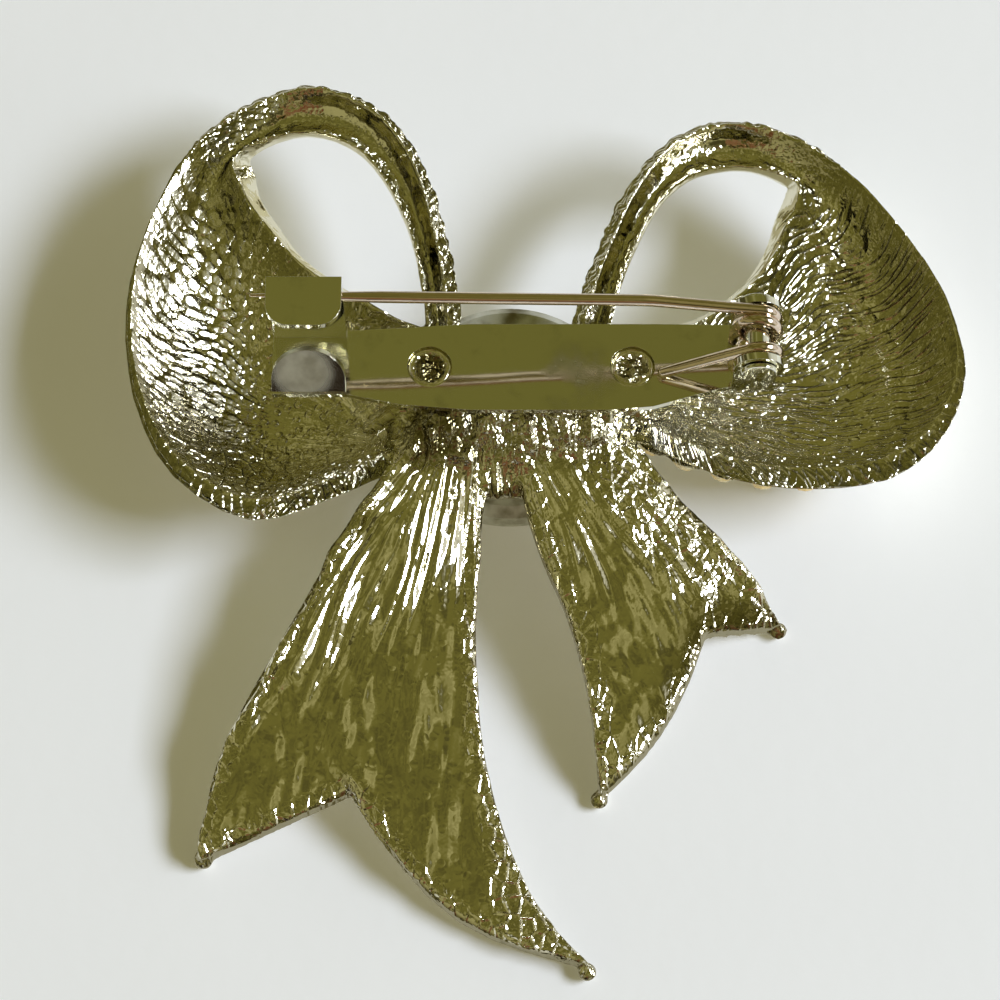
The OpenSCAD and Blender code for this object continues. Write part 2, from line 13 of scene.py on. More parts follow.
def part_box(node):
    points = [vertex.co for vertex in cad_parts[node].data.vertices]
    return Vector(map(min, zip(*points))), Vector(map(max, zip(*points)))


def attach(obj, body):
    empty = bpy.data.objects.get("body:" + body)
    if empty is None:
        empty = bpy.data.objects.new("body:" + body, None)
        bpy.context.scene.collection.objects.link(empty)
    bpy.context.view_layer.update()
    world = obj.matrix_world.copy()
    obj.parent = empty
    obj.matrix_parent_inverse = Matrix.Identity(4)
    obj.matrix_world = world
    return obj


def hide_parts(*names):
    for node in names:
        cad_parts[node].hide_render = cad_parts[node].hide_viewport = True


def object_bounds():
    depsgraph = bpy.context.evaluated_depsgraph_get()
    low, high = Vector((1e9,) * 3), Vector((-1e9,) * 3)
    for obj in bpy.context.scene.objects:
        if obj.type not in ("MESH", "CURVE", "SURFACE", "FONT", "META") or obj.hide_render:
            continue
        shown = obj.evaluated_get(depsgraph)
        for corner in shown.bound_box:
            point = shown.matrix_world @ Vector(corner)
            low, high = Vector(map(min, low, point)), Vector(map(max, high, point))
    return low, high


bl_info = {
    "name": "Bow brooch",
    "version": (1, 0, 0),
    "blender": (4, 5, 0),
    "location": "View3D > Sidebar > Brooch",
    "description": "Finishes the pieces of a bow brooch that lies face down",
    "category": "Object",
}

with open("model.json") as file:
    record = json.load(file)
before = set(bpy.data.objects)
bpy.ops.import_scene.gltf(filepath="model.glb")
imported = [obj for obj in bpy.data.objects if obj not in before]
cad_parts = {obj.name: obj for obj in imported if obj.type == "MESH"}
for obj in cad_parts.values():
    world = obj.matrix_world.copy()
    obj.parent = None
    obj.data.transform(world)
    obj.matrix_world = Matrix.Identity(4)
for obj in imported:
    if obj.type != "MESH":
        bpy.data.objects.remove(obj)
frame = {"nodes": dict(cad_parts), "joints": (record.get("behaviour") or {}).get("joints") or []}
CAD_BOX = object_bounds()
MM = 0.001
NODES = frame["nodes"]
EDGE_STONES = sorted(name for name in NODES if name.startswith("edge_stone_"))

# The middle of the knot lies over the middle of the round setting, a little below it
SETTING_RISE = 0.3 * MM
SETTING_LOW, SETTING_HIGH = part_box("centre_setting")
KNOT = (SETTING_LOW + SETTING_HIGH) / 2 - Vector((0, SETTING_RISE, 0))
KNOT.z = 0

# Where the patterns of the casting start, in millimetres from the middle of the knot
LEFT_FAN = Vector((-7.0, -3.0))
RIGHT_FAN = Vector((8.5, 0.3))
LEFT_HOLE = Vector((-11.0, 12.5))
RIGHT_HOLE = Vector((12.0, 10.5))
TAIL_FAN = Vector((-1.6, 2.7))

# The studs, the knot's edges and the top of the loops' lobes, in millimetres from the same place
STUDS = (Vector((-4.9, 0.0)), Vector((7.5, 0.0)))
STUD_LEVEL = 9.75
STUD_RADIUS = 1.32
KNOT_BOTTOM = -5.6
KNOT_SIDE = 6.4
LOBE_TOP = 7.0

# Where a tail's pattern meets a loop's beside the knot: the border's height there and its slant
LEFT_BORDER = (-4.4, 1.1)
RIGHT_BORDER = (-2.6, 2.1)
BORDER_BLEND = 0.6

# The guard of the catch and the worn place on the pin plate, and how far round them the marks go
GUARD = Vector((-12.6, -0.6, 11.2))
GUARD_REACH = 2.4
SMUDGE = Vector((4.0, -0.6, 10.4))
SMUDGE_REACH = 3.2

# Upright planes between a loop and a tail, and between the tails: a point and the way across
LEFT_CUT = ((-8.3, -5.6), (-0.73, 0.69))
RIGHT_CUT = ((12.5, -5.6), (0.60, 0.80))
TAILS_CUT = ((-0.2, -5.6), (0.983, 0.181))

# The pin's wire, in millimetres from the middle of its first turn on the hinge
PIN_BENDS = (Vector((-1.7, 0, 1.49)), Vector((-6.5, 0.06, 2.34)))
PIN_CATCH = Vector((-27.25, -0.40, 3.84))
PIN_TAPER_START = 23.1
PIN_END = 30.4
HINGE = Vector(frame["joints"][0]["pos_m"])


def length(label, millimetres, words):
    """A size in metres, given in millimetres."""
    return FloatProperty(
        name=label, description=words, default=millimetres * MM, min=0, unit="LENGTH", precision=5
    )


def share(label, value, words):
    return FloatProperty(name=label, description=words, default=value, min=0, max=1, subtype="FACTOR")


def colour(label, value, words):
    return FloatVectorProperty(
        name=label, description=words, default=value, size=3, min=0, max=1, subtype="COLOR"
    )


class BroochCasting(bpy.types.PropertyGroup):
    grid: length("Grid", 0.14, "Spacing of the casting's finished mesh")
    passes: IntProperty(name="Smoothing", description="Smoothing passes", default=9, min=0, max=40)
    swell: length("Swells", 0.20, "Height of the long swells in the loops and tails")
    ridge: length("Ridges", 0.075, "Height of the thin ridges")
    crinkle: length("Crinkles", 0.16, "Height of the crinkles on the arches and the knot")
    even_reach: length("Evening", 1.6, "How far round a place the normals are evened out")
    even_step: length("Evening step", 0.5, "Spacing of the evened normals")


class BroochPin(bpy.types.PropertyGroup):
    radius: length("Wire radius", 0.36, "Radius of the wire")
    coil: length("Coil radius", 1.2, "Radius of the coil, to the middle of the wire")
    pitch: length("Pitch", 0.70, "From one turn of the coil to the next")
    turns: FloatProperty(
        name="Turns", description="Turns of the coil on the pin", default=1.6, min=0.5, max=3,
    )
    coil_end: FloatProperty(
        name="Coil's end", description="Angle at which the pin leaves its coil",
        default=math.radians(80.5), subtype="ANGLE",
    )
    bend: length("Bends", 0.9, "How far from its corner each bend of the pin starts")
    tip: length("Tip radius", 0.09, "Radius of the pin's tip")
    tail_turns: FloatProperty(
        name="Tail turns", description="Turns of the coil on the wire's short end", default=0.95,
    )
    tail_pitch: length("Tail pitch", 0.45, "From one turn to the next on the short end")
    tail_slope: FloatProperty(
        name="Tail slope", description="Slope of the short end down to the plate",
        default=math.radians(33), subtype="ANGLE",
    )
    tail_drop: length("Tail drop", 2.55, "From the first turn to the turn of the short end")
    tail_length: length("Tail length", 5.93, "Length of the short end")
    plate_edge: length("Plate's edges", 0.07, "Rounding of the pin plate's edges")
    rivet_edge: length("Rivet's edges", 0.1, "Rounding of the rivet's edges")


class BroochFinish(bpy.types.PropertyGroup):
    plating: colour("Plating", (0.84, 0.80, 0.62), "Colour of the bright plating")
    # The colour of wear and tarnish, and also of painted shade in the casting's hollows, on its steep walls
    # and over the knot, and of a painted dark reflection on the guard.
    tarnish_and_shade: colour("Tarnish", (0.20, 0.17, 0.08), "Colour of the plating in its hollows")
    sheet: colour("Sheet", (0.80, 0.79, 0.66), "Colour of the pin plate")
    dull: colour("Dull plating", (0.74, 0.74, 0.66), "Colour of the round setting")
    wire: colour("Wire", (0.74, 0.62, 0.50), "Colour of the pin's wire")
    amber: colour("Amber", (0.95, 0.66, 0.16), "Colour of the small stones")
    pearl: colour("Pearl", (0.86, 0.82, 0.72), "Colour of the round stone")
    gloss: share("Plating roughness", 0.07, "Roughness of the bright plating")
    frost: share("Bead roughness", 0.18, "What the cast beads add to the plating's roughness")


class BroochStage(bpy.types.PropertyGroup):
    elevation: FloatProperty(
        name="Elevation", description="Height of the camera above the horizon",
        default=math.radians(67), subtype="ANGLE",
    )
    distance: length("Distance", 200, "From the camera to the brooch")
    across: length("Width", 62.5, "Width of the picture at the brooch")
    aim: FloatVectorProperty(
        name="Aim", description="Where the camera looks",
        default=(-2.75 * MM, 1.35 * MM, 3 * MM), unit="LENGTH",
    )
    floor: colour("Floor", (0.86, 0.865, 0.88), "Colour of the surface")
    fill: colour("Fill", (0.105, 0.098, 0.068), "Light that fills the shadows on the surface")
    window: FloatProperty(name="Window", description="Brightness of the window", default=28, min=0)
    window_rise: FloatProperty(
        name="Window rise", description="Height of the window above the horizon",
        default=math.radians(39), subtype="ANGLE",
    )
    window_turn: FloatProperty(
        name="Window turn", description="Turn of the window from the right to the top",
        default=math.radians(-5), subtype="ANGLE",
    )
    window_distance: length("Window distance", 1500, "From the window to the brooch")
    window_width: length("Window width", 760, "Width of the window")
    window_height: length("Window height", 380, "Height of the window")
    window_tint: colour("Window tint", (0.80, 0.86, 1.0), "Colour of the window's light")
    floor_reach: length("Floor reach", 1500, "From the middle of the floor to its sides")


class BroochRoom(bpy.types.PropertyGroup):
    olive: colour("Olive", (0.162, 0.151, 0.036), "Main colour of the ceiling")
    dusk: colour("Dusk", (0.078, 0.071, 0.020), "Dark parts of the ceiling")
    straw: colour("Straw", (0.50, 0.47, 0.23), "Bright parts of the ceiling")
    wall_dark: colour("Dark wall", (0.060, 0.053, 0.018), "Dark parts of the walls")
    wall_pale: colour("Pale wall", (0.34, 0.32, 0.15), "Pale parts of the walls")
    glow_dark: colour("Dark glow", (0.24, 0.22, 0.13), "Dark parts of the place round the window")
    glow_pale: colour("Pale glow", (0.74, 0.74, 0.68), "Pale parts of the place round the window")
    ruddy: colour("Ruddy", (0.16, 0.045, 0.022), "The ruddy patch high in front")
    front_dark: colour("Dark front", (0.025, 0.018, 0.012), "Dark parts of what stands low in front")
    front_pale: colour("Pale front", (0.24, 0.20, 0.16), "Pale parts of what stands low in front")


class Field:
    """A node socket that numbers and other sockets can be added to, multiplied by and so on."""

    def __init__(self, tree, socket):
        self.tree = tree
        self.socket = socket

    def maths(self, operation, *others):
        return node(self.tree, "ShaderNodeMath", {"operation": operation}, dict(enumerate([self, *others])))

    def __add__(self, other):
        return self.maths("ADD", other)

    def __radd__(self, other):
        return self.maths("ADD", other)

    def __sub__(self, other):
        return self.maths("SUBTRACT", other)

    def __rsub__(self, other):
        return node(self.tree, "ShaderNodeMath", {"operation": "SUBTRACT"}, {0: other, 1: self})

    def __mul__(self, other):
        return self.maths("MULTIPLY", other)

    def __pow__(self, other):
        return self.maths("POWER", other)

    def size(self):
        return self.maths("ABSOLUTE")

    def least(self, other):
        return self.maths("MINIMUM", other)

    def most(self, other):
        return self.maths("MAXIMUM", other)

    def step(self, low, high):
        """0 below low, 1 above high and smooth between them."""
        return node(self.tree, "ShaderNodeMapRange", {"interpolation_type": "SMOOTHSTEP"},
                    {"Value": self, "From Min": low, "From Max": high})


def node(tree, kind, settings=None, values=None, output=0):
    """Adds a node, sets it, fills or links its sockets and returns one of its outputs."""
    made = tree.nodes.new(kind)
    for name, value in (settings or {}).items():
        setattr(made, name, value)
    for name, value in (values or {}).items():
        if isinstance(value, Field):
            tree.links.new(value.socket, made.inputs[name])
        else:
            made.inputs[name].default_value = value
    return Field(tree, made.outputs[output])


def blend_colours(tree, factor, first, second):
    made = tree.nodes.new("ShaderNodeMix")
    made.data_type = "RGBA"
    for socket, value in zip((made.inputs[0], made.inputs[6], made.inputs[7]), (factor, first, second)):
        if isinstance(value, Field):
            tree.links.new(value.socket, socket)
        else:
            socket.default_value = (*value, 1) if socket is not made.inputs[0] else value
    return Field(tree, made.outputs[2])


def grain(tree, place, scale, detail=2, rough=0.5):
    return node(tree, "ShaderNodeTexNoise", None,
                {"Vector": place, "Scale": scale, "Detail": detail, "Roughness": rough})


def stretched(tree, place, factors):
    """A pattern's place, stretched along its axes."""
    return node(tree, "ShaderNodeVectorMath", {"operation": "MULTIPLY"}, {0: place, 1: factors})


def attribute(tree, name):
    """The three numbers that the mesh keeps under a name at each of its vertices."""
    return node(tree, "ShaderNodeAttribute", {"attribute_name": name}, None, 1)


def object_place(tree):
    return node(tree, "ShaderNodeTexCoord", None, None, 3)


def material(name, fixed, vary):
    """A material whose shader has the fixed values, and varies as the function vary says."""
    made = bpy.data.materials.new(name)
    made.use_nodes = True
    tree = made.node_tree
    shader = tree.nodes["Principled BSDF"]
    for socket, value in fixed.items():
        shader.inputs[socket].default_value = value
    for socket, value in vary(tree).items():
        tree.links.new(value.socket, shader.inputs[socket])
    return made


def bump(tree, height, distance, strength=1.0):
    return node(tree, "ShaderNodeBump", None,
                {"Height": height, "Distance": distance, "Strength": strength})


def spot(tree, place, middle, radius):
    """1 at a point, falling to 0 at the radius round it."""
    away = node(tree, "ShaderNodeVectorMath", {"operation": "DISTANCE"}, {0: place, 1: tuple(middle)}, 1)
    return away.step(radius, radius * 0.4)


def parts_of(tree, vector):
    """The three parts of a vector."""
    made = tree.nodes.new("ShaderNodeSeparateXYZ")
    tree.links.new(vector.socket, made.inputs[0])
    return [Field(tree, socket) for socket in made.outputs]


def cell_pattern(tree, place, feature="F1", disorder=1.0):
    """Distance from the middles of flat scattered cells, or from their borders."""
    return node(tree, "ShaderNodeTexVoronoi", {"voronoi_dimensions": "2D", "feature": feature},
                {"Vector": place, "Scale": 1.0, "Randomness": disorder})


def cast_silver(finish):
    """Plated metal whose fine beads, threads, net, crinkles and dots follow the mesh's attributes, with
    painted shade in its hollows and on its steep walls.
    """
    def vary(tree):
        flow = attribute(tree, "flow")
        # The flow's third number is the stain and painted shade that the mesh keeps.
        kept_stain_and_shade = parts_of(tree, flow)[2]
        beads, threads, net = parts_of(tree, attribute(tree, "pattern"))
        crinkles, dots, polish = parts_of(tree, attribute(tree, "detail"))
        place = stretched(tree, object_place(tree), (1000, 1000, 1000))
        away = cell_pattern(tree, stretched(tree, flow, (1.0, 2.1, 0)), "F1", 0.7)
        head = away.step(0.46, 0.34)
        groove = (away - 0.32).most(0)
        line = (1 - (grain(tree, stretched(tree, flow, (0.4, 1.8, 0)), 1.0, 1) - 0.5).size() * 10).most(0)
        mesh = cell_pattern(tree, stretched(tree, place, (1.25, 1.0, 0)), "DISTANCE_TO_EDGE")
        strand = (1 - mesh * 8).most(0)
        dot = (1 - cell_pattern(tree, stretched(tree, place, (1.15, 1.15, 0))) ** 2 * 11).most(0)
        rough = grain(tree, place, 1.25, 2, 0.55)
        height = line * threads * 0.075 + strand * net * 0.07
        height = height - groove * beads * 0.19 + dot * dots * 0.08 + (rough - 0.5) * crinkles * 0.5
        speck = grain(tree, place, 5.0, 2)
        height = height + speck * (1 - polish) * 0.006
        # Painted shade: the hollows between the beads and in the crinkles are darkened towards the tarnish
        # colour, together with the stain and painted shade that the mesh keeps.
        painted_hollow_shade = (1 - head) * beads * 0.12 + rough.step(0.62, 0.44) * crinkles * 0.3
        stain_and_shade = (painted_hollow_shade + kept_stain_and_shade * (0.7 + rough * 0.4)).least(1.0)
        frosted = head * beads + line * threads * 0.8
        return {
            "Base Color": blend_colours(tree, stain_and_shade, finish.plating, finish.tarnish_and_shade),
            "Roughness": (1 - polish) * speck * 0.04 + frosted * finish.frost + finish.gloss,
            "Normal": bump(tree, height, MM),
        }

    return material("cast_silver", {"Metallic": 1.0}, vary)


def sheet_metal(finish):
    """Bright sheet, a little wavy, with a worn smudge between the studs and a painted dark reflection on the
    guard.
    """
    def vary(tree):
        place = object_place(tree)
        drawn = grain(tree, stretched(tree, place, (0.25, 3.0, 1.0)), 1500, 3)
        waves = grain(tree, stretched(tree, place, (1.0, 0.5, 1.0)), 130, 1)
        worn = grain(tree, place, 700, 4).step(0.55, 0.8)
        smudge = spot(tree, place, KNOT + SMUDGE * MM, SMUDGE_REACH * MM)
        guard = spot(tree, place, KNOT + GUARD * MM, GUARD_REACH * MM)
        clouds = grain(tree, place, 600, 3).step(0.3, 0.7)
        smudge = smudge * grain(tree, place, 420, 3).step(0.38, 0.66)
        # Painted dark reflection round the guard, mottled in clouds, added to the wear and the smudge.
        stain_and_shade = (worn * 0.2 + smudge * 0.35 + guard * (0.1 + clouds * 0.5)).least(1.0)
        return {
            "Base Color": blend_colours(tree, stain_and_shade, finish.sheet, finish.tarnish_and_shade),
            "Roughness": (drawn + worn) * 0.05 + smudge * 0.22 + guard * 0.34 + finish.gloss * 0.6,
            "Normal": bump(tree, drawn * 0.005 + waves, 0.12 * MM),
        }

    return material("bright_sheet", {"Metallic": 1.0}, vary)


def dull_metal(finish):
    """The plain dull back of the round setting."""
    def vary(tree):
        place = object_place(tree)
        worn = grain(tree, place, 600, 4)
        return {
            "Base Color": blend_colours(tree, worn.step(0.35, 0.75), finish.dull, finish.tarnish_and_shade),
            "Roughness": worn * 0.16 + 0.4,
            "Normal": bump(tree, worn, 0.02 * MM),
        }

    return material("setting_metal", {"Metallic": 0.75}, vary)


def wire_metal(finish):
    def vary(tree):
        place = object_place(tree)
        drawn = grain(tree, stretched(tree, place, (0.15, 4.0, 4.0)), 2500, 3)
        worn = grain(tree, place, 500, 3).step(0.5, 0.75)
        return {
            "Base Color": blend_colours(tree, worn * 0.3, finish.wire, finish.tarnish_and_shade),
            "Roughness": drawn * 0.08 + finish.gloss,
            "Normal": bump(tree, drawn, 0.004 * MM),
        }

    return material("pin_wire", {"Metallic": 1.0}, vary)


def amber_glass(finish):
    def vary(tree):
        place = object_place(tree)
        # Painted glints: pale spots in the small stones' colour.
        painted_glints = grain(tree, place, 900, 2).step(0.4, 0.7)
        return {
            "Base Color": blend_colours(tree, painted_glints, finish.amber, (0.98, 0.90, 0.55)),
            "Roughness": painted_glints * 0.05 + 0.03,
            "Metallic": painted_glints * 0.3 + 0.45,
        }

    return material("amber_glass", {"Coat Weight": 1.0, "Coat Roughness": 0.02}, vary)


def pearl_glaze(finish):
    def vary(tree):
        place = object_place(tree)
        clouds = grain(tree, place, 260, 3)
        return {
            "Base Color": blend_colours(tree, clouds.step(0.35, 0.7), finish.pearl, (0.93, 0.88, 0.80)),
            "Roughness": clouds * 0.15 + 0.1,
        }

    return material("pearl_glaze", {"Coat Weight": 0.8, "Coat Roughness": 0.04}, vary)


def floor_paper(stage):
    def vary(tree):
        place = object_place(tree)
        tooth = grain(tree, place, 700, 4)
        tone = grain(tree, place, 25, 2).step(0.3, 0.7)
        darker = tuple(channel * 0.97 for channel in stage.floor)
        return {
            "Base Color": blend_colours(tree, tone, stage.floor, darker),
            "Roughness": tooth * 0.2 + 0.6,
            "Normal": bump(tree, tooth, 0.03 * MM, 0.6),
        }

    # The floor glows with the fill colour: painted light that lifts its shadows.
    fixed = {"Specular IOR Level": 0.2, "Emission Color": (*stage.fill, 1), "Emission Strength": 1.0}
    return material("floor_paper", fixed, vary)


def set_material(obj, made):
    obj.data.materials.clear()
    obj.data.materials.append(made)


def new_piece(name, mesh, body, made, replaced=()):
    """A finished piece that rides on a body and may stand for CAD nodes."""
    obj = bpy.data.objects.new(name, mesh)
    bpy.context.scene.collection.objects.link(obj)
    set_material(obj, made)
    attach(obj, body)
    if replaced:
        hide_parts(*replaced)
    return obj


def merged_copy(name):
    """A CAD node's mesh with its loose triangles joined."""
    bm = bmesh.new()
    bm.from_mesh(NODES[name].data)
    bmesh.ops.remove_doubles(bm, verts=bm.verts, dist=0.001 * MM)
    return bm


def rounded_corners(points, reach):
    """A path whose inner corners are rounded off over the length reach on each side."""
    path = [points[0]]
    for before, corner, after in zip(points, points[1:], points[2:]):
        start = corner + (before - corner).normalized() * reach
        end = corner + (after - corner).normalized() * reach
        for i in range(9):
            t = i / 8
            path.append(start.lerp(corner, t).lerp(corner.lerp(end, t), t))
    path.append(points[-1])
    return path


def tube(name, path, radii, sides=28):
    """A closed wire along a path, with round ends."""
    bm = bmesh.new()
    rings = []
    ends = ((path[1] - path[0]).normalized(), (path[-1] - path[-2]).normalized())
    caps = [math.radians(angle) for angle in (70, 45, 20)]
    places = [(path[0] - ends[0] * radii[0] * math.sin(a), radii[0] * math.cos(a), ends[0]) for a in caps]
    for i, point in enumerate(path):
        way = (path[min(i + 1, len(path) - 1)] - path[max(i - 1, 0)]).normalized()
        places.append((point, radii[i], way))
    places += [(path[-1] + ends[1] * radii[-1] * math.sin(a), radii[-1] * math.cos(a), ends[1])
               for a in reversed(caps)]
    side = ends[0].orthogonal().normalized()
    for middle, radius, way in places:
        side = (side - way * side.dot(way)).normalized()
        up = way.cross(side)
        rings.append([bm.verts.new(middle + (side * math.cos(turn) + up * math.sin(turn)) * radius)
                      for turn in (2 * math.pi * k / sides for k in range(sides))])
    for ring, following in zip(rings, rings[1:]):
        for k in range(sides):
            m = (k + 1) % sides
            bm.faces.new((ring[k], ring[m], following[m], following[k]))
    tips = ((rings[0], path[0] - ends[0] * radii[0]), (rings[-1], path[-1] + ends[1] * radii[-1]))
    for ring, tip in tips:
        pole = bm.verts.new(tip)
        for k in range(sides):
            bm.faces.new((pole, ring[(k + 1) % sides], ring[k]))
    bmesh.ops.recalc_face_normals(bm, faces=bm.faces)
    for face in bm.faces:
        face.smooth = True
    mesh = bpy.data.meshes.new(name)
    bm.to_mesh(mesh)
    bm.free()
    return mesh


def smooth_step(value, low, high):
    t = min(1.0, max(0.0, (value - low) / (high - low)))
    return t * t * (3 - 2 * t)


def wave(along, across, seed):
    """Smooth noise from -1 to 1 on a flow's two coordinates."""
    return noise.noise(Vector((along, across, seed))) * 1.6


def cells(along, across, seed):
    """How far a place is from the border of its cell: 0 on the border, 1 well inside."""
    near = noise.voronoi(Vector((along, across, seed)))[0]
    return smooth_step(near[1] - near[0], 0.02, 0.42)


def blended(first, second, share):
    return tuple(a + (b - a) * share for a, b in zip(first, second))


class Finish:
    """What the cast surface is like at one place: its relief, the shares of its fine patterns, its stain and
    painted shade, how it faces (the share of the evened normal, the share of that one's tilt, and its lean in
    X and
    Y) and how far its normal is lifted."""

    def __init__(self, height, flow, beads=0.0, threads=0.0, net=0.0, crinkles=0.0, dots=0.0, polish=0.0,
                 stain_and_shade=0.0, facing=(0.0, 1.0, 0.0, 0.0)):
        self.height = height
        self.flow = flow
        self.pattern = (beads, threads, net)
        self.detail = (crinkles, dots, polish)
        self.stain_and_shade = stain_and_shade
        self.facing = facing
        self.lift = 0.0

    def faded(self, share, polish):
        """The same finish with its patterns faded and its polish raised."""
        made = Finish(self.height * share, self.flow, stain_and_shade=self.stain_and_shade)
        made.pattern = tuple(value * share for value in self.pattern)
        made.detail = (self.detail[0] * share, self.detail[1] * share, max(self.detail[2], polish))
        made.facing = (self.facing[0] * share, *self.facing[1:])
        made.lift = self.lift
        return made

    def mixed(self, other, share):
        """This finish with a share of another one. What follows the flow fades out where the flow changes."""
        made = Finish(self.height + (other.height - self.height) * share,
                      self.flow if share < 0.5 else other.flow)
        near, far = max(0.0, 1 - 3.4 * share), max(0.0, 3.4 * share - 2.4)
        beads, threads, net = (a * p + b * q for a, b, p, q in zip(
            self.pattern, other.pattern, (near, near, 1 - share), (far, far, share)))
        made.pattern = (beads, threads, net)
        made.detail = blended(self.detail, other.detail, share)
        made.stain_and_shade = self.stain_and_shade + (other.stain_and_shade - self.stain_and_shade) * share
        made.facing = blended(self.facing, other.facing, share)
        made.lift = self.lift + (other.lift - self.lift) * share
        return made


class EvenNormals:
    """The casting's upward normals, evened out over a few millimetres."""

    def __init__(self, mesh, reach, step):
        self.step = step
        self.corner = CAD_BOX[0].xy - Vector((4, 4)) * step
        size = (CAD_BOX[1].xy - self.corner) / step
        sums = np.zeros((int(size.x) + 6, int(size.y) + 6, 3))
        for vertex in mesh.vertices:
            if vertex.normal.z > 0.3 and vertex.co.z < KNOT.z + LOBE_TOP * MM:
                where = (vertex.co.xy - self.corner) / step
                sums[round(where.x), round(where.y)] += vertex.normal
        reaches = np.arange(-3 * reach, 3 * reach + step / 2, step)
        kernel = np.exp(-0.5 * (reaches / reach) ** 2)
        for axis in (0, 1):
            sums = np.apply_along_axis(np.convolve, axis, sums, kernel, "same")
        self.sums = sums

    def at(self, place):
        where = (place.xy - self.corner) / self.step
        i, j = int(where.x), int(where.y)
        x, y = where.x - i, where.y - j
        grid = self.sums
        found = ((grid[i, j] * (1 - x) + grid[i + 1, j] * x) * (1 - y)
                 + (grid[i, j + 1] * (1 - x) + grid[i + 1, j + 1] * x) * y)
        return Vector(found).normalized()


